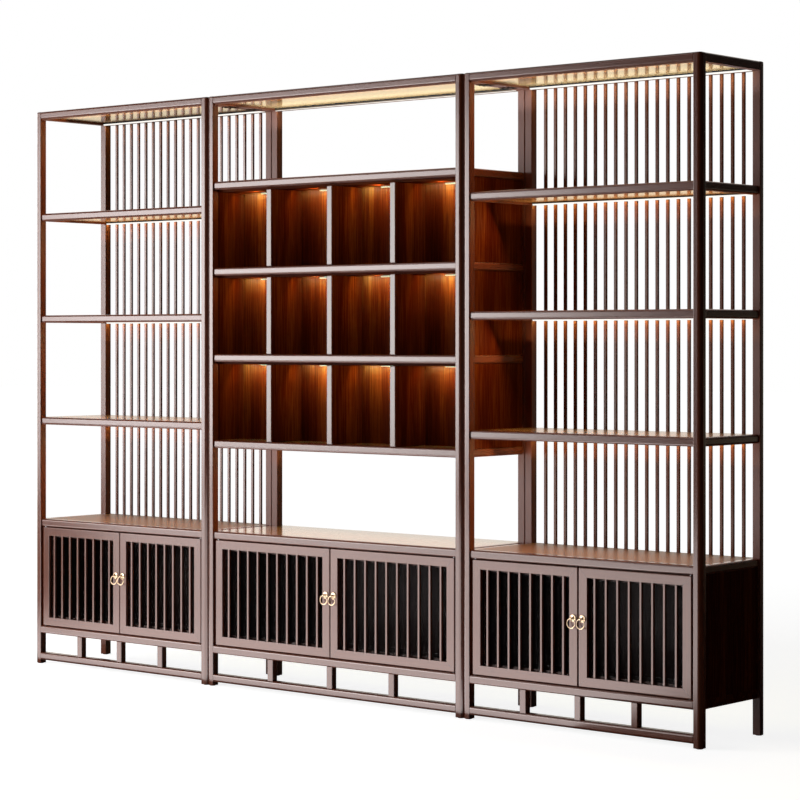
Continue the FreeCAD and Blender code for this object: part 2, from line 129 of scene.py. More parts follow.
def buildGrainGroup():
    group = bpy.data.node_groups.new("Walnut Grain", "ShaderNodeTree")
    sockets = [
        ("Vector", "NodeSocketVector", None),
        ("Deep", "NodeSocketColor", (0.05, 0.01, 0.01, 1)),
        ("Middle", "NodeSocketColor", (0.10, 0.03, 0.02, 1)),
        ("Light", "NodeSocketColor", (0.20, 0.07, 0.04, 1)),
        ("Band Scale", "NodeSocketFloat", 26.0),
        ("Line Scale", "NodeSocketFloat", 240.0),
        ("Figure", "NodeSocketFloat", 0.6),
        ("Smooth", "NodeSocketFloat", 0.30),
        ("Rough", "NodeSocketFloat", 0.42),
    ]
    for name, kind, value in sockets:
        socket = group.interface.new_socket(name, in_out="INPUT", socket_type=kind)
        if value is not None:
            socket.default_value = value
    group.interface.new_socket("Color", in_out="OUTPUT", socket_type="NodeSocketColor")
    for name in ("Roughness", "Height"):
        group.interface.new_socket(name, in_out="OUTPUT", socket_type="NodeSocketFloat")
    entry = addNode(group, "NodeGroupInput", (-1100, 0))
    result = addNode(group, "NodeGroupOutput", (900, 0))

    def addNoise(part, place, scale):
        noise = addNode(group, "ShaderNodeTexNoise", place)
        setInputs(noise, grainShape[part])
        join(group, entry.outputs["Vector"], noise.inputs["Vector"])
        join(group, scale, noise.inputs["Scale"])
        return spreadValue(group, noise.outputs["Fac"], *grainShape[part + "Spread"])

    lineScale = entry.outputs["Line Scale"]
    broad = addNoise("band", (-800, 300), entry.outputs["Band Scale"])
    fine = addNoise("line", (-800, 0), lineScale)
    pits = addNoise("pore", (-800, -300), mathNode(group, "MULTIPLY", lineScale, grainShape["poreScale"]))
    mixed = mathNode(group, "ADD", mathNode(group, "MULTIPLY", broad, grainShape["bandShare"]),
                     mathNode(group, "MULTIPLY", fine, grainShape["lineShare"]))
    strength = mathNode(group, "MULTIPLY", mathNode(group, "SUBTRACT", mixed, grainShape["middleLevel"]),
                        entry.outputs["Figure"])
    lighter = mathNode(group, "MAXIMUM", strength, 0.0)
    darker = mathNode(group, "MAXIMUM", mathNode(group, "MULTIPLY", strength, -1.0), 0.0)
    withLight = mixColors(group, lighter, entry.outputs["Middle"], entry.outputs["Light"])
    withDeep = mixColors(group, darker, withLight, entry.outputs["Deep"])
    depth = mathNode(group, "MULTIPLY", pits, grainShape["poreDepth"])
    withPits = mixColors(group, depth, withDeep, entry.outputs["Deep"])
    join(group, withPits, result.inputs["Color"])

    gloss = addNode(group, "ShaderNodeMapRange", (400, 0))
    join(group, fine, gloss.inputs["Value"])
    join(group, entry.outputs["Smooth"], gloss.inputs["To Min"])
    join(group, entry.outputs["Rough"], gloss.inputs["To Max"])
    join(group, gloss.outputs["Result"], result.inputs["Roughness"])
    height = mathNode(group, "SUBTRACT", mathNode(group, "MULTIPLY", fine, grainShape["lineHeight"]), pits)
    join(group, height, result.inputs["Height"])
    return group


grainGroup = buildGrainGroup()
alongRow, frontToBack, upright = 0, 1, 2


def grainVector(tree, axis):
    # Object coordinates squeezed along the grain, so that streaks run along that axis
    coordinates = addNode(tree, "ShaderNodeTexCoord", (-1500, 0))
    mapping = addNode(tree, "ShaderNodeMapping", (-1300, 0))
    scale = [1.0, 1.0, 1.0]
    scale[axis] = grainShape["alongGrain"]
    mapping.inputs["Scale"].default_value = scale
    join(tree, coordinates.outputs["Object"], mapping.inputs["Vector"])
    return mapping.outputs["Vector"]


def uprightGrain(tree):
    return grainVector(tree, upright)


def lyingGrain(tree):
    return grainVector(tree, alongRow)


def chooseVector(tree, mask, whenZero, whenOne):
    choice = addNode(tree, "ShaderNodeMix", (-1000, 0), data_type="VECTOR")
    join(tree, mask, choice.inputs["Factor"])
    join(tree, grainVector(tree, whenZero), choice.inputs["A"])
    join(tree, grainVector(tree, whenOne), choice.inputs["B"])
    return choice.outputs["Result"]


def objectAxis(tree, axis):
    coordinates = addNode(tree, "ShaderNodeTexCoord", (-1700, -200))
    separate = addNode(tree, "ShaderNodeSeparateXYZ", (-1500, -200))
    join(tree, coordinates.outputs["Object"], separate.inputs[0])
    return separate.outputs[axis]


frameWood = {
    "deep": (0.040, 0.006, 0.003, 1), "middle": (0.105, 0.0235, 0.0085, 1),
    "light": (0.175, 0.046, 0.018, 1), "bandScale": 24.0, "lineScale": 230.0, "figure": 0.5,
    "smooth": 0.245, "rough": 0.265, "roughBelow": 0.85, "specular": 0.7, "tint": (1.0, 0.88, 0.86, 1),
    "coat": 0.5, "coatBelow": 0.0, "coatRoughness": 0.22, "coatIndex": 1.6, "bump": 0.008,
}
doorFinish = dict(frameWood, tint=(1.0, 0.80, 0.76, 1))
slatFinish = dict(frameWood, specular=0.35, coat=0.15, tint=(1.0, 0.80, 0.70, 1))
backFinish = dict(frameWood, figure=0.3, specular=0.4, coat=0.0, middle=(0.03, 0.007, 0.004, 1))
boardWood = {
    "deep": (0.100, 0.037, 0.011, 1), "middle": (0.220, 0.104, 0.035, 1),
    "light": (0.330, 0.175, 0.064, 1), "bandScale": 18.0, "lineScale": 200.0, "figure": 0.55,
    "smooth": 0.24, "rough": 0.30, "roughBelow": 0.17, "specular": 0.4, "tint": (1.0, 0.86, 0.66, 1),
    "coat": 0.80, "coatBelow": 0.0, "coatRoughness": 0.10, "coatIndex": 1.5, "bump": 0.012,
}
panelWood = {
    "deep": (0.010, 0.0006, 0.0002, 1), "middle": (0.048, 0.0062, 0.0011, 1),
    "light": (0.160, 0.036, 0.005, 1), "bandScale": 17.0, "lineScale": 190.0, "figure": 1.25,
    "smooth": 0.24, "rough": 0.30, "roughBelow": 0.6, "specular": 0.01, "tint": (1.0, 0.85, 0.65, 1),
    "coat": 0.0, "coatBelow": 0.0, "coatRoughness": 0.22, "coatIndex": 1.5, "bump": 0.05,
}
woodPlaces = {"facingDown": -0.5, "bumpDistance": 0.0004, "railReach": 1.02, "floorRise": 0.001}


def facingDown(tree):
    # One on the faces that look at the floor, which have a finish of their own
    separate = addNode(tree, "ShaderNodeSeparateXYZ", (-1500, -500))
    geometry = addNode(tree, "ShaderNodeNewGeometry", (-1700, -500))
    join(tree, geometry.outputs["Normal"], separate.inputs[0])
    return mathNode(tree, "LESS_THAN", separate.outputs["Z"], woodPlaces["facingDown"])


def blendValues(tree, factor, first, second):
    node = addNode(tree, "ShaderNodeMix", data_type="FLOAT")
    for name, value in (("Factor", factor), ("A", first), ("B", second)):
        if isinstance(value, (int, float)):
            node.inputs[name].default_value = value
        else:
            join(tree, value, node.inputs[name])
    return node.outputs["Result"]


def woodMaterial(name, wood, makeVector):
    material, tree, shader = startMaterial(name, {
        "Specular IOR Level": wood["specular"], "Specular Tint": wood["tint"], "Coat Weight": wood["coat"],
        "Coat Roughness": wood["coatRoughness"], "Coat IOR": wood["coatIndex"]})
    grain = addNode(tree, "ShaderNodeGroup", (-600, 0))
    grain.node_tree = grainGroup
    setInputs(grain, {"Deep": wood["deep"], "Middle": wood["middle"], "Light": wood["light"],
                      "Band Scale": wood["bandScale"], "Line Scale": wood["lineScale"],
                      "Figure": wood["figure"], "Smooth": wood["smooth"], "Rough": wood["rough"]})
    join(tree, makeVector(tree), grain.inputs["Vector"])
    join(tree, grain.outputs["Color"], shader.inputs["Base Color"])
    below = facingDown(tree)
    roughness = blendValues(tree, below, grain.outputs["Roughness"], wood["roughBelow"])
    join(tree, roughness, shader.inputs["Roughness"])
    if wood["coat"] != wood["coatBelow"]:
        join(tree, blendValues(tree, below, wood["coat"], wood["coatBelow"]), shader.inputs["Coat Weight"])
    bump = addNode(tree, "ShaderNodeBump", (-250, -300))
    setInputs(bump, {"Strength": wood["bump"], "Distance": woodPlaces["bumpDistance"]})
    join(tree, grain.outputs["Height"], bump.inputs["Height"])
    join(tree, bump.outputs["Normal"], shader.inputs["Normal"])
    return material


def railVector(tree):
    # Rails along the row lie at the front and rear, side rails between them
    middle = (frontFace + rearFace) / 2
    reach = (rearFace - frontFace) / 2 - postSize * woodPlaces["railReach"]
    away = mathNode(tree, "ABSOLUTE", mathNode(tree, "SUBTRACT", objectAxis(tree, "Y"), middle))
    return chooseVector(tree, mathNode(tree, "GREATER_THAN", away, reach), frontToBack, alongRow)


def cupboardVector(tree):
    # The floor's grain runs along the row, the sides' grain stands
    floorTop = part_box("hinge_washers")[0].z + woodPlaces["floorRise"]
    onFloor = mathNode(tree, "LESS_THAN", objectAxis(tree, "Z"), floorTop)
    return chooseVector(tree, onFloor, upright, alongRow)


mitre = {"stile": 0.0315, "rail": 0.0295, "line": 0.018, "share": 0.75,
         "color": (0.006, 0.001, 0.001, 1)}


def doorWood(door):
    # Stiles stand and rails lie, and a fine dark line shows the mitre between them
    low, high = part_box(door + "_frame")

    def fromEdge(tree, axis, start, end, width):
        place = objectAxis(tree, axis)
        nearer = mathNode(tree, "MINIMUM", mathNode(tree, "SUBTRACT", place, start),
                          mathNode(tree, "SUBTRACT", end, place))
        return mathNode(tree, "DIVIDE", nearer, width)

    def fromEdges(tree):
        return (fromEdge(tree, "X", low.x, high.x, mitre["stile"]),
                fromEdge(tree, "Z", low.z, high.z, mitre["rail"]))

    def vector(tree):
        inRail = mathNode(tree, "GREATER_THAN", *fromEdges(tree))
        return chooseVector(tree, inRail, upright, alongRow)

    material = woodMaterial(door + "_wood", doorFinish, vector)
    tree = material.node_tree
    shader = tree.nodes["Principled BSDF"]
    apart = mathNode(tree, "ABSOLUTE", mathNode(tree, "SUBTRACT", *fromEdges(tree)))
    line = mathNode(tree, "MULTIPLY", mathNode(tree, "LESS_THAN", apart, mitre["line"]), mitre["share"])
    before = shader.inputs["Base Color"].links[0].from_socket
    join(tree, mixColors(tree, line, before, mitre["color"]), shader.inputs["Base Color"])
    return material


# The warm colour is painted shade, laid on the tops of the outer cupboards
counterGlossAndShade = {"height": 0.56, "middleReach": 0.556, "coat": 0.06, "rough": 0.42, "shelfCoat": 0.40,
                "paintedShadeShare": 0.9, "warm": (0.120, 0.042, 0.012, 1)}


def counterWood():
    # The middle unit's boards are the glossiest, the outer cupboards' tops the dullest, with painted shade:
    # darker and redder, for the shade under the shelves above
    material = woodMaterial("board_walnut", boardWood, lyingGrain)
    tree = material.node_tree
    below = mathNode(tree, "LESS_THAN", objectAxis(tree, "Z"), counterGlossAndShade["height"])
    aside = mathNode(tree, "GREATER_THAN", mathNode(tree, "ABSOLUTE", objectAxis(tree, "X")),
                     counterGlossAndShade["middleReach"])
    outerTop = mathNode(tree, "MULTIPLY", below, aside)
    shader = tree.nodes["Principled BSDF"]
    gloss = blendValues(tree, aside, boardWood["coat"], counterGlossAndShade["shelfCoat"])
    gloss = blendValues(tree, outerTop, gloss, counterGlossAndShade["coat"])
    gloss = blendValues(tree, facingDown(tree), gloss, boardWood["coatBelow"])
    join(tree, gloss, shader.inputs["Coat Weight"])
    smooth = shader.inputs["Roughness"].links[0].from_socket
    join(tree, blendValues(tree, outerTop, smooth, counterGlossAndShade["rough"]), shader.inputs["Roughness"])
    # Painted shade: the outer cupboard tops are mixed toward the darker, redder warm colour
    before = shader.inputs["Base Color"].links[0].from_socket
    paintedShade = mathNode(tree, "MULTIPLY", outerTop, counterGlossAndShade["paintedShadeShare"])
    join(tree, mixColors(tree, paintedShade, before, counterGlossAndShade["warm"]), shader.inputs["Base Color"])
    return material


dividerFinish = dict(panelWood, coatIndex=1.7)
dividerRim = {"depth": 0.0065, "coat": 1.0}


def dividerWood():
    # Veneered sides, and a lacquered solid edge toward the room
    material = woodMaterial("divider_walnut", dividerFinish, uprightGrain)
    tree = material.node_tree
    shader = tree.nodes["Principled BSDF"]
    edge = mathNode(tree, "LESS_THAN", objectAxis(tree, "Y"), frontFace + dividerRim["depth"])
    before = shader.inputs["Base Color"].links[0].from_socket
    join(tree, mixColors(tree, edge, before, frameWood["middle"]), shader.inputs["Base Color"])
    join(tree, mathNode(tree, "MULTIPLY", edge, dividerRim["coat"]), shader.inputs["Coat Weight"])
    return material


postGloss = {"behind": 0.10, "fromX": -0.60, "coat": 0.05, "rough": 0.45}


def postWood():
    # The rear posts have a duller lacquer, apart from the one at the row's left end
    material = woodMaterial("post_walnut", frameWood, uprightGrain)
    tree = material.node_tree
    shader = tree.nodes["Principled BSDF"]
    behind = mathNode(tree, "GREATER_THAN", objectAxis(tree, "Y"), postGloss["behind"])
    rightward = mathNode(tree, "GREATER_THAN", objectAxis(tree, "X"), postGloss["fromX"])
    dull = mathNode(tree, "MULTIPLY", behind, rightward)
    for name, value in (("Coat Weight", postGloss["coat"]), ("Roughness", postGloss["rough"])):
        before = shader.inputs[name].links[0].from_socket
        join(tree, blendValues(tree, dull, before, value), shader.inputs[name])
    return material


uprightWood = woodMaterial("upright_walnut", frameWood, uprightGrain)
barWood = woodMaterial("bar_walnut", doorFinish, uprightGrain)
slatWood = woodMaterial("slat_walnut", slatFinish, uprightGrain)
lyingWood = woodMaterial("lying_walnut", frameWood, lyingGrain)
railWood = woodMaterial("rail_walnut", frameWood, railVector)
shelfWood = counterWood()
sheetWood = woodMaterial("panel_walnut", panelWood, uprightGrain)
cupboardWood = woodMaterial("cupboard_walnut", panelWood, cupboardVector)
ceilingWood = woodMaterial("ceiling_walnut", panelWood, lyingGrain)
backWood = woodMaterial("back_walnut", backFinish, uprightGrain)
print("wood finishes made")


unevenGloss = {"scale": 160.0, "detail": 3.0, "spread": (0.3, 0.7)}


def plainMaterial(name, shaderValues, wear):
    # A plain finish whose roughness varies a little over the surface
    material, tree, shader = startMaterial(name, shaderValues)
    coordinates = addNode(tree, "ShaderNodeTexCoord", (-800, 0))
    noise = addNode(tree, "ShaderNodeTexNoise", (-600, 0))
    setInputs(noise, {"Scale": unevenGloss["scale"], "Detail": unevenGloss["detail"]})
    join(tree, coordinates.outputs["Object"], noise.inputs["Vector"])
    base = shaderValues["Roughness"]
    gloss = spreadValue(tree, noise.outputs["Fac"], *unevenGloss["spread"], base - wear, base + wear)
    join(tree, gloss, shader.inputs["Roughness"])
    return material


smokedGlass = plainMaterial("smoked_glass", {
    "Base Color": (0.002, 0.0015, 0.0015, 1), "Roughness": 0.06, "IOR": 1.45, "Specular IOR Level": 0.02,
    "Alpha": 0.42}, wear=0.02)
brass = plainMaterial("brass", {
    "Base Color": (0.58, 0.42, 0.28, 1), "Metallic": 1.0, "Roughness": 0.12}, wear=0.04)
steel = plainMaterial("steel", {
    "Base Color": (0.55, 0.55, 0.56, 1), "Metallic": 1.0, "Roughness": 0.32}, wear=0.06)
bronzed = plainMaterial("bronzed_steel", {
    "Base Color": (0.020, 0.008, 0.005, 1), "Roughness": 0.7, "Specular IOR Level": 0.05}, wear=0.06)
nylon = plainMaterial("black_nylon", {
    "Base Color": (0.02, 0.02, 0.02, 1), "Roughness": 0.5}, wear=0.06)
blackMetal = plainMaterial("black_aluminium", {
    "Base Color": (0.004, 0.004, 0.004, 1), "Roughness": 0.6, "Specular IOR Level": 0.2}, wear=0.05)
driverPlastic = plainMaterial("driver_plastic", {
    "Base Color": (0.03, 0.03, 0.03, 1), "Roughness": 0.45}, wear=0.05)

lightStrip = {
    "color": (1.0, 0.62, 0.28, 1), "mirrored": (0.10, 0.07, 0.04, 1), "seen": (0.5, 0.49, 0.465, 1),
    "cellSeen": (0.20, 0.155, 0.085, 1), "cellTop": 1.75, "dimSide": (0.05, 0.03, 0.012, 1),
    "middleReach": 0.556, "base": (0.04, 0.02, 0.01, 1), "strength": 2.0,
}


def litMaterial():
    # Throws warm light and looks nearly white itself, but dimmer in the cells, and on its sides in the
    # middle unit
    material = plainMaterial("lit_diffuser", {
        "Base Color": lightStrip["base"], "Roughness": 0.5,
        "Emission Strength": lightStrip["strength"]}, wear=0.02)
    tree = material.node_tree
    ray = addNode(tree, "ShaderNodeLightPath", (-500, -300))
    mirrored = mixColors(tree, ray.outputs["Is Glossy Ray"], lightStrip["color"], lightStrip["mirrored"])
    inMiddle = mathNode(tree, "LESS_THAN", mathNode(tree, "ABSOLUTE", objectAxis(tree, "X")),
                        lightStrip["middleReach"])
    side = mathNode(tree, "MULTIPLY", inMiddle, mathNode(tree, "SUBTRACT", 1.0, facingDown(tree)))
    inCells = mathNode(tree, "MULTIPLY", inMiddle,
                       mathNode(tree, "LESS_THAN", objectAxis(tree, "Z"), lightStrip["cellTop"]))
    front = mixColors(tree, inCells, lightStrip["seen"], lightStrip["cellSeen"])
    direct = mixColors(tree, side, front, lightStrip["dimSide"])
    shown = mixColors(tree, ray.outputs["Is Camera Ray"], mirrored, direct)
    join(tree, shown, tree.nodes["Principled BSDF"].inputs["Emission Color"])
    return material


dress([unit + "_posts" for unit in units], postWood())
dress(["base_struts", "left_slats"], uprightWood)
dress(["right_slats"], slatWood)
dress(["cell_dividers"], dividerWood())
dress([unit + "_rails" for unit in units], railWood)
dress(["base_rails"], lyingWood)
dress([unit + "_boards" for unit in units], shelfWood)
dress([unit + "_cupboard" for unit in units], cupboardWood)
dress(["cupboard_backs"], backWood)
dress(["cell_backs", "block_side_panels"], sheetWood)
dress(["cell_ceilings"], ceilingWood)
dress(["light_channels"], blackMetal)
dress(["light_diffusers"], litMaterial())
dress(["light_drivers", "door_catches"], driverPlastic)
dress(["foot_glides", "hinge_washers"], nylon)
dress(["hinge_pins"], steel)
dress(["joining_plates", "joining_screws"], bronzed)
for door in doors:
    dress([door + "_frame"], doorWood(door))
    dress([door + "_bars"], barWood)
    dress([door + "_glass"], smokedGlass)
print("frame dressed")


# Modelling helpers
def clearSelection():
    if bpy.context.mode != "OBJECT":
        bpy.ops.object.mode_set(mode="OBJECT")
    bpy.ops.object.select_all(action="DESELECT")


def beginPiece(name):
    # Names the primitive just added and puts its place into its mesh
    piece = bpy.context.active_object
    piece.name = name
    bpy.ops.object.transform_apply(location=True, rotation=True, scale=True)
    return piece


def editAll():
    bpy.ops.object.mode_set(mode="EDIT")
    bpy.ops.mesh.select_mode(type="VERT")
    bpy.ops.mesh.select_all(action="SELECT")


def pick(piece, kind, wanted):
    # Selects the faces, edges or corners of a piece that pass the test, and stays in edit mode
    bpy.ops.object.mode_set(mode="EDIT")
    bpy.ops.mesh.select_mode(type=kind)
    bpy.ops.mesh.select_all(action="DESELECT")
    bpy.ops.object.mode_set(mode="OBJECT")
    mesh = piece.data
    if kind == "FACE":
        for face in mesh.polygons:
            face.select = wanted(face.center, face.normal)
    elif kind == "EDGE":
        for edge in mesh.edges:
            edge.select = all(wanted(mesh.vertices[end].co) for end in edge.vertices)
    else:
        for corner in mesh.vertices:
            corner.select = wanted(corner.co)
    bpy.ops.object.mode_set(mode="EDIT")


meshFinish = {"seam": 0.00001, "smoothAngle": 40.0, "wireAngle": 60.0, "facing": 0.9, "sameLevel": 0.0001}


def tidyMesh(angle=meshFinish["smoothAngle"]):
    # Closes seams, turns faces outwards and smooths what isn't a sharp edge
    editAll()
    bpy.ops.mesh.remove_doubles(threshold=meshFinish["seam"])
    bpy.ops.mesh.normals_make_consistent(inside=False)
    bpy.ops.object.mode_set(mode="OBJECT")
    bpy.ops.object.shade_smooth_by_angle(angle=math.radians(angle))


def joinPieces(pieces, name):
    clearSelection()
    for piece in pieces:
        piece.select_set(True)
    bpy.context.view_layer.objects.active = pieces[0]
    bpy.ops.object.join()
    whole = bpy.context.active_object
    whole.name = name
    return whole


def copyPiece(source, name, shift):
    clearSelection()
    source.select_set(True)
    bpy.context.view_layer.objects.active = source
    bpy.ops.object.duplicate(linked=False)
    copy = bpy.context.active_object
    copy.name = name
    bpy.ops.transform.translate(value=shift)
    bpy.ops.object.transform_apply(location=True, rotation=True, scale=True)
    return copy


def finishPiece(piece, body, material, replaced=()):
    piece.data.materials.clear()
    piece.data.materials.append(material)
    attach(piece, body)
    if replaced:
        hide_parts(*replaced)


# Ring pulls
pull = {
    "rosetteRadius": 0.011, "rosetteDepth": 0.0032, "rosetteSides": 48, "rimTop": 0.0011,
    "rimSlope": 0.0014, "recess": 0.0012, "dish": 0.0042, "dishRise": 0.0004, "neck": (0.0013, 0.0011),
    "neckTop": (0.0008, 0.0012), "stemLength": 0.0033, "rimBevel": 0.0004, "rimSteps": 2,
    "eyeRadius": 0.00295, "eyeWire": 0.00105, "eyeWidth": 0.0050, "eyeSteps": 36,
    "wire": 0.0015, "wireSides": 16, "ringRadius": 0.0145, "ringSteps": 64,
    "bottomSwell": 0.00012, "bottomSteps": 5, "bottomStep": 0.15,
}


def modelRosette(middle, doorFace):
    # A turned disc with a raised rim, a shallow dish and a stem that runs out to the eye
    depth = pull["rosetteDepth"]
    clearSelection()
    bpy.ops.mesh.primitive_cylinder_add(
        vertices=pull["rosetteSides"], radius=pull["rosetteRadius"], depth=depth,
        rotation=(math.pi / 2, 0, 0), location=(middle[0], doorFace - depth / 2, middle[2]))
    piece = beginPiece("rosette")
    pick(piece, "FACE", lambda centre, normal: normal.y < -meshFinish["facing"])
    bpy.ops.mesh.inset(thickness=pull["rimTop"], depth=0)
    bpy.ops.mesh.inset(thickness=pull["rimSlope"], depth=-pull["recess"])
    bpy.ops.mesh.inset(thickness=pull["dish"], depth=pull["dishRise"])
    bpy.ops.mesh.inset(thickness=pull["neck"][0], depth=pull["neck"][1])
    bpy.ops.mesh.inset(thickness=pull["neckTop"][0], depth=pull["neckTop"][1])
    bpy.ops.mesh.extrude_region_move(TRANSFORM_OT_translate={"value": (0, -pull["stemLength"], 0)})
    rimFront = doorFace - depth
    rimInside = pull["rosetteRadius"] - pull["rimTop"]

    def onRim(place):
        out = math.hypot(place.x - middle[0], place.z - middle[2])
        level = abs(place.y - rimFront) < meshFinish["sameLevel"]
        return level and out > rimInside - meshFinish["sameLevel"]

    pick(piece, "EDGE", onRim)
    bpy.ops.mesh.bevel(offset=pull["rimBevel"], segments=pull["rimSteps"])
    bpy.ops.object.mode_set(mode="OBJECT")
    return piece


def modelEye(middle):
    # A flattened loop turned about the line that the ring swings on
    clearSelection()
    bpy.ops.mesh.primitive_circle_add(
        vertices=pull["wireSides"], radius=pull["eyeWire"], rotation=(math.pi / 2, 0, 0),
        location=(middle[0], middle[1], middle[2] + pull["eyeRadius"]))
    piece = beginPiece("eye")
    editAll()
    widen = pull["eyeWidth"] / 2 / pull["eyeWire"]
    bpy.ops.transform.resize(value=(widen, 1, 1), center_override=middle)
    bpy.ops.mesh.spin(steps=pull["eyeSteps"], angle=2 * math.pi, center=middle, axis=(1, 0, 0))
    bpy.ops.object.mode_set(mode="OBJECT")
    return piece


strike = {
    "aside": 0.01825, "size": (0.024, 0.002, 0.014), "level": 0.4805, "back": -0.1425, "edgeTest": 0.001,
    "corner": 0.003, "cornerSteps": 4, "rim": 0.0006, "screwRadius": 0.0023, "screwRise": 0.0004,
    "screwAside": 0.007, "screwSides": 24, "screwRim": 0.0004, "screwHead": 0.0009, "screwDimple": 0.0001,
}


def modelStrike(middle, side):
    # A thin plate with round corners and two screws, on the back of the door
    size = strike["size"]
    centre = (middle[0] + side * strike["aside"], strike["back"] + size[1] / 2, strike["level"])
    clearSelection()
    bpy.ops.mesh.primitive_cube_add(size=1, location=centre, scale=size)
    plate = beginPiece("strike")
    bpy.ops.object.mode_set(mode="EDIT")
    bpy.ops.mesh.select_mode(type="EDGE")
    bpy.ops.mesh.select_all(action="DESELECT")
    bpy.ops.object.mode_set(mode="OBJECT")
    for edge in plate.data.edges:
        first, second = [plate.data.vertices[end].co for end in edge.vertices]
        edge.select = abs(first.y - second.y) > strike["edgeTest"]
    bpy.ops.object.mode_set(mode="EDIT")
    bpy.ops.mesh.bevel(offset=strike["corner"], segments=strike["cornerSteps"])
    pick(plate, "FACE", lambda place, normal: normal.y > meshFinish["facing"])
    bpy.ops.mesh.inset(thickness=strike["rim"], depth=0)
    parts = [plate]
    for aside in (-strike["screwAside"], strike["screwAside"]):
        clearSelection()
        bpy.ops.mesh.primitive_cylinder_add(
            vertices=strike["screwSides"], radius=strike["screwRadius"], depth=strike["screwRise"] * 2,
            rotation=(math.pi / 2, 0, 0), location=(centre[0] + aside, centre[1] + size[1] / 2, centre[2]))
        screw = beginPiece("screw")
        pick(screw, "FACE", lambda place, normal: normal.y > meshFinish["facing"])
        bpy.ops.mesh.inset(thickness=strike["screwRim"], depth=strike["screwRise"])
        bpy.ops.mesh.inset(thickness=strike["screwHead"], depth=0)
        bpy.ops.mesh.inset(thickness=strike["screwDimple"], depth=-strike["screwRise"] * 2)
        bpy.ops.object.mode_set(mode="OBJECT")
        parts.append(screw)
    return parts


def modelRing(middle):
    # Wire bent into a ring, a little thicker where it hangs lowest
    clearSelection()
    bpy.ops.mesh.primitive_circle_add(
        vertices=pull["wireSides"], radius=pull["wire"], rotation=(0, math.pi / 2, 0), location=middle)
    piece = beginPiece("ring")
    editAll()
    hub = (middle[0], middle[1], middle[2] - pull["ringRadius"])
    bpy.ops.mesh.spin(steps=pull["ringSteps"], angle=2 * math.pi, center=hub, axis=(0, 1, 0))
    tidyMesh(meshFinish["wireAngle"])
    for step in range(pull["bottomSteps"]):
        level = hub[2] - pull["ringRadius"] * pull["bottomStep"] * (step + 1)
        pick(piece, "VERT", lambda place: place.z < level)
        bpy.ops.transform.shrink_fatten(value=pull["bottomSwell"])
    bpy.ops.object.mode_set(mode="OBJECT")
    return piece


for side, half in ((-1, doors[0::2]), (1, doors[1::2])):
    for door in half:
        low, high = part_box(door + "_ring")
        middle = ((low.x + high.x) / 2, (low.y + high.y) / 2, high.z - pull["wire"])
        if door == half[0]:
            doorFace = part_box(door + "_frame")[0].y
            rosette = modelRosette(middle, doorFace)
            parts = [rosette, modelEye(middle)] + modelStrike(middle, side)
            plate = joinPieces(parts, door + "_pull_plate")
            tidyMesh()
            ring = modelRing(middle)
            ring.name = door + "_pull_ring"
            start = middle
            firstPlate, firstRing = plate, ring
        else:
            shift = tuple(now - then for now, then in zip(middle, start))
            plate = copyPiece(firstPlate, door + "_pull_plate", shift)
            ring = copyPiece(firstRing, door + "_pull_ring", shift)
        finishPiece(plate, door, brass, (door + "_fittings",))
        finishPiece(ring, door + "_pull", brass, (door + "_ring",))
print("ring pulls made")


# Small curved blocks in the upper corners of each front
fillet = {"size": 0.006, "front": 0.0065, "depth": 0.018, "hollow": 0.96, "curve": 0.10, "segments": 8,
          "drop": 0.027}


def modelFillet(name, corner, side):
    # A block whose free edge is hollowed out, set into the corner between post and top rail
    size = fillet["size"]
    setBack = fillet["front"] + fillet["depth"] / 2
    place = (corner[0] + side * size / 2, frontFace + setBack, corner[1] - size / 2)
    clearSelection()
    bpy.ops.mesh.primitive_cube_add(size=1, location=place, scale=(size, fillet["depth"], size))
    piece = beginPiece(name)
    pick(piece, "EDGE", lambda spot: (spot.x - place[0]) * side > 0 and spot.z < place[2])
    bpy.ops.mesh.bevel(offset=size * fillet["hollow"], segments=fillet["segments"], profile=fillet["curve"])
    tidyMesh()
    return piece


for unit in units:
    low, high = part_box(unit + "_posts")
    under = topFace - fillet["drop"]
    pair = [modelFillet("corner", (low.x + postSize, under), 1),
            modelFillet("corner", (high.x - postSize, under), -1)]
    fillets = joinPieces(pair, unit + "_corner_fillets")
    finishPiece(fillets, "cabinet", lyingWood)
print("corner fillets made")


# Floor and surroundings
studio = {
    "floorSize": 80.0, "floorColor": (0.5, 0.5, 0.5, 1), "floorDark": (0.02, 0.018, 0.016, 1),
    "floorTint": (1.0, 0.85, 0.60, 1), "white": (1.0, 1.0, 1.0, 1),
    "floorLift": (0.86, 1.0), "liftReach": (2.0, 6.0),
    "floorGlossy": (0.02, 1.4), "glossyReach": (1.0, 4.0), "straight": (0.05, 0.85),
    "back": (-0.648, 0.762, 0.0), "worldFade": (0.35, 0.85), "worldTint": (1.0, 0.93, 0.84, 1),
    "fill": 0.035, "darkSide": 0.003,
    "keyPlace": (-3.36, -3.56, 1.40), "keySize": (2.85, 1.90), "keyPower": 127.0, "softPower": 60.0,
    "aim": (0, 0, 1.0), "topAim": (0, 0, 0.6),
    "lowPlace": (-0.60, -1.2, 0.26), "lowSize": (3.24, 0.5), "lowPower": 15.0,
    "cardPlace": (-0.75, -0.72, 0.012), "cardSize": (3.4, 1.04), "cardPower": 40.0,
    "sidePlace": (-5.2, 0.4, 1.5), "sideSize": (1.6, 2.4), "sidePower": 60.0,
    "topPlace": (-1.5, -2.6, 4.4), "topSize": (4.0, 1.8), "topPower": 30.0,
}


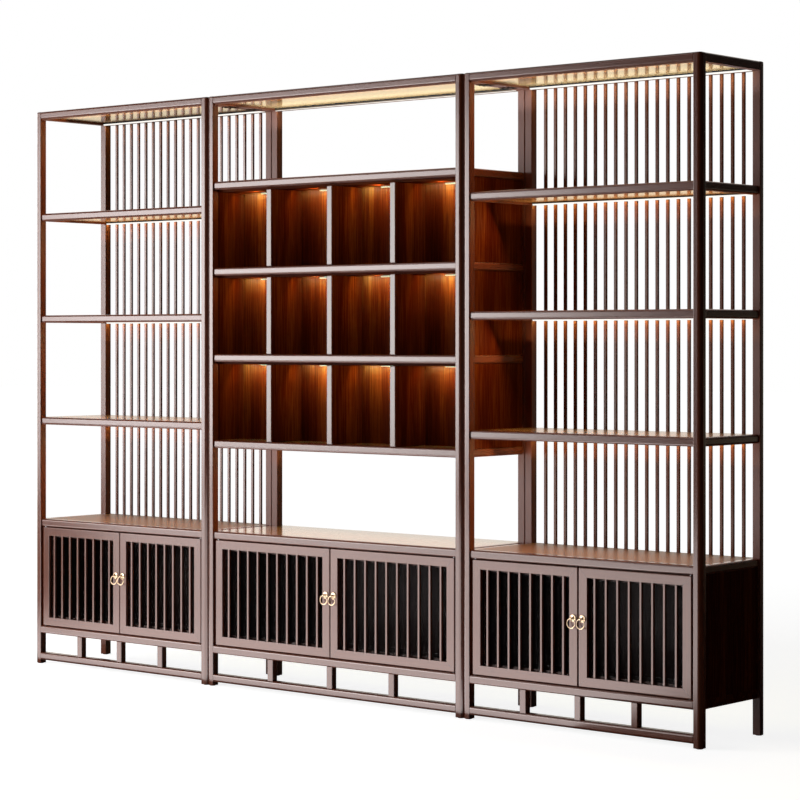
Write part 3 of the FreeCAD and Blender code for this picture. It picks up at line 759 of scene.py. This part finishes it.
def buildFloor():
    clearSelection()
    bpy.ops.mesh.primitive_plane_add(size=studio["floorSize"], location=(0, 0, 0))
    floor = bpy.context.active_object
    floor.name = "floor"
    material, tree, shader = startMaterial("pale_floor", {
        "Base Color": studio["floorColor"], "Roughness": 0.9, "Specular IOR Level": 0.0})
    ray = addNode(tree, "ShaderNodeLightPath", (-500, -200))
    glossy = ray.outputs["Is Glossy Ray"]
    clear = mathNode(tree, "MAXIMUM", ray.outputs["Is Camera Ray"], ray.outputs["Is Transmission Ray"])
    away = addNode(tree, "ShaderNodeVectorMath", (-700, 100), operation="LENGTH")
    coordinates = addNode(tree, "ShaderNodeTexCoord", (-900, 100))
    join(tree, coordinates.outputs["Object"], away.inputs[0])
    lift = spreadValue(tree, away.outputs["Value"], *studio["liftReach"], *studio["floorLift"])
    behind = addNode(tree, "ShaderNodeVectorMath", (-700, -300), operation="DOT_PRODUCT")
    behind.inputs[1].default_value = studio["back"]
    join(tree, coordinates.outputs["Object"], behind.inputs[0])
    ahead = mathNode(tree, "DIVIDE", behind.outputs["Value"], away.outputs["Value"])
    straight = spreadValue(tree, ahead, *studio["straight"])
    distant = spreadValue(tree, behind.outputs["Value"], *studio["glossyReach"], *studio["floorGlossy"])
    mirrored = mathNode(tree, "MULTIPLY", straight, distant)
    seen = mathNode(tree, "ADD", mathNode(tree, "MULTIPLY", clear, lift),
                    mathNode(tree, "MULTIPLY", glossy, mirrored))
    join(tree, seen, shader.inputs["Emission Strength"])
    shade = mixColors(tree, glossy, studio["floorColor"], studio["floorDark"])
    join(tree, shade, shader.inputs["Base Color"])
    tint = mixColors(tree, glossy, studio["white"], studio["floorTint"])
    join(tree, tint, shader.inputs["Emission Color"])
    floor.data.materials.append(material)


def buildWorld():
    world = bpy.data.worlds.new("studio")
    bpy.context.scene.world = world
    world.use_nodes = True
    tree = world.node_tree
    background = tree.nodes["Background"]
    ray = addNode(tree, "ShaderNodeLightPath", (-900, 200))
    glossy = ray.outputs["Is Glossy Ray"]
    coordinates = addNode(tree, "ShaderNodeTexCoord", (-1100, -100))
    toward = addNode(tree, "ShaderNodeVectorMath", (-900, -100), operation="DOT_PRODUCT")
    toward.inputs[1].default_value = studio["back"]
    join(tree, coordinates.outputs["Generated"], toward.inputs[0])
    fade = addNode(tree, "ShaderNodeMapRange", (-700, -100), interpolation_type="SMOOTHSTEP")
    setInputs(fade, {"From Min": studio["worldFade"][0], "From Max": studio["worldFade"][1],
                     "To Min": studio["darkSide"], "To Max": 1.0})
    join(tree, toward.outputs["Value"], fade.inputs["Value"])
    clear = mathNode(tree, "MAXIMUM", ray.outputs["Is Camera Ray"], ray.outputs["Is Transmission Ray"])
    around = blendValues(tree, glossy, studio["fill"], fade.outputs["Result"])
    join(tree, blendValues(tree, clear, around, 1.0), background.inputs["Strength"])
    join(tree, mixColors(tree, glossy, studio["white"], studio["worldTint"]), background.inputs["Color"])


def addArea(name, place, size, power, turn):
    # A rectangular lamp that the camera doesn't see
    data = bpy.data.lights.new(name, "AREA")
    data.shape = "RECTANGLE"
    data.size, data.size_y = size
    data.energy = power
    lamp = bpy.data.objects.new(name, data)
    bpy.context.scene.collection.objects.link(lamp)
    lamp.location = place
    lamp.rotation_euler = turn
    lamp.visible_camera = False
    return lamp


def addSoftbox(name, place, size, power, target):
    aim = [goal - start for goal, start in zip(target, place)]
    rise = math.atan2(aim[2], math.hypot(aim[0], aim[1]))
    return addArea(name, place, size, power, (math.pi / 2 + rise, 0, math.atan2(-aim[0], aim[1])))


buildFloor()
buildWorld()
addSoftbox("key_softbox", studio["keyPlace"], studio["keySize"], studio["keyPower"], studio["aim"])
soft = addSoftbox("soft_light", studio["keyPlace"], studio["keySize"], studio["softPower"], studio["aim"])
soft.visible_glossy = False
low = addArea("low_softbox", studio["lowPlace"], studio["lowSize"], studio["lowPower"], (math.pi / 2, 0, 0))
card = addArea("floor_card", studio["cardPlace"], studio["cardSize"], studio["cardPower"], (math.pi, 0, 0))
for lamp in (low, card):
    lamp.visible_diffuse = False  # they only show in the lacquer, as white cards before the doors would
addSoftbox("side_softbox", studio["sidePlace"], studio["sideSize"], studio["sidePower"], studio["aim"])
addSoftbox("top_softbox", studio["topPlace"], studio["topSize"], studio["topPower"], studio["topAim"])
print("studio made")


# Light thrown by the long strips under the boards and by the short ones in the cells. A lamp's colour
# makes up for the wood's own, so that the lit wood looks as warm or as pale as in the photograph
glow = {
    "longFrom": 0.2, "drop": 0.0010,
    "stripColor": (0.88, 1.0, 0.34), "stripPower": 0.50, "stripWidth": 0.010,
    "bayColor": (1.0, 0.66, 0.28), "bayPower": 3.5, "bayWidth": 0.10, "bayForward": 0.15,
    "bayDrop": 0.048, "bayTilt": -1.0,
    "liftColor": (1.0, 0.78, 0.45), "liftPower": 1.3, "liftWidth": 0.10, "liftForward": 0.07,
    "liftDrop": 0.07,
    "topColor": (0.50, 0.76, 1.0), "topPowers": (0.1, 5.4, 3.3), "topBay": 1.9, "unitReach": 0.556,
    "cellColor": (1.0, 0.72, 0.30), "washPower": 0.42, "washSize": (0.20, 0.012), "washForward": 0.050,
    "washTilt": 0.9,
    "nearColor": (0.24, 0.85, 1.0), "nearPower": 0.62, "nearSize": (0.22, 0.004), "nearForward": 0.014,
    "nearTilt": 1.2, "nearDrop": 0.002,
    "wallPower": 0.5, "wallRadius": 0.004, "wallForward": 0.06, "wallDrop": 0.002,
}


def addGlow(name, place, size, power, color, tilt=0.0):
    lamp = addArea(name, place, size, power, (tilt, 0, 0))
    lamp.data.color = color
    lamp.visible_glossy = False


def addPoint(name, place, power):
    data = bpy.data.lights.new(name, "POINT")
    data.shadow_soft_size = glow["wallRadius"]
    data.energy = power
    data.color = glow["cellColor"]
    lamp = bpy.data.objects.new(name, data)
    bpy.context.scene.collection.objects.link(lamp)
    lamp.location = place
    lamp.visible_camera = False
    lamp.visible_glossy = False


def islandBoxes(name):
    # Low and high corners of each separate solid of a CAD node
    mesh = nodes[name].data
    parent = list(range(len(mesh.vertices)))
    keys = {}
    for index, vertex in enumerate(mesh.vertices):
        spot = tuple(round(value, 5) for value in vertex.co)
        parent[index] = keys.setdefault(spot, index)

    def root(index):
        while parent[index] != index:
            parent[index] = parent[parent[index]]
            index = parent[index]
        return index

    for face in mesh.polygons:
        first = root(face.vertices[0])
        for other in face.vertices[1:]:
            parent[root(other)] = first
    groups = {}
    for index, vertex in enumerate(mesh.vertices):
        groups.setdefault(root(index), []).append(vertex.co)
    boxes = []
    for corners in groups.values():
        low = [min(corner[axis] for corner in corners) for axis in range(3)]
        high = [max(corner[axis] for corner in corners) for axis in range(3)]
        boxes.append((low, high))
    return sorted(boxes)


for number, (low, high) in enumerate(islandBoxes("light_diffusers")):
    middle = [(first + second) / 2 for first, second in zip(low, high)]
    length = high[0] - low[0]

    def spot(drop, forward=0.0):
        return (middle[0], middle[1] - forward, low[2] - drop)

    if length > glow["longFrom"]:
        lifting, liftColor = glow["liftPower"], glow["liftColor"]
        if low[2] > glow["topBay"]:
            unitNumber = 1 + (middle[0] > glow["unitReach"]) - (middle[0] < -glow["unitReach"])
            lifting, liftColor = glow["topPowers"][unitNumber], glow["topColor"]
        addGlow("strip_glow_%d" % number, spot(glow["drop"]), (length, glow["stripWidth"]),
                glow["stripPower"], glow["stripColor"])
        addGlow("bay_glow_%d" % number, spot(glow["bayDrop"], glow["bayForward"]),
                (length, glow["bayWidth"]), glow["bayPower"], glow["bayColor"], glow["bayTilt"])
        addGlow("lift_glow_%d" % number, spot(glow["liftDrop"], glow["liftForward"]),
                (length, glow["liftWidth"]), lifting, liftColor, math.pi)
    else:
        addGlow("cell_wash_%d" % number, spot(glow["drop"], glow["washForward"]), glow["washSize"],
                glow["washPower"], glow["cellColor"], glow["washTilt"])
        addGlow("cell_glow_%d" % number, spot(glow["nearDrop"], glow["nearForward"]), glow["nearSize"],
                glow["nearPower"], glow["nearColor"], glow["nearTilt"])
        addPoint("cell_wall_%d" % number, spot(glow["wallDrop"], glow["wallForward"]), glow["wallPower"])
print("glow lamps made")


# Camera: level, with the photograph's horizon above the middle row
view = {"place": (5.23305, -5.96279, 1.17420), "turn": 40.382, "focalPixels": 2403.57,
        "photoSize": 800, "horizonRow": 339.69, "sensor": 36.0}
cameraData = bpy.data.cameras.new("camera")
cameraData.sensor_width = view["sensor"]
cameraData.lens = view["focalPixels"] / view["photoSize"] * view["sensor"]
cameraData.shift_y = view["horizonRow"] / view["photoSize"] - 0.5
camera = bpy.data.objects.new("camera", cameraData)
bpy.context.scene.collection.objects.link(camera)
camera.location = view["place"]
camera.rotation_euler = (math.pi / 2, 0, math.radians(view["turn"]))
bpy.context.scene.camera = camera
bpy.context.scene.view_settings.view_transform = "Standard"
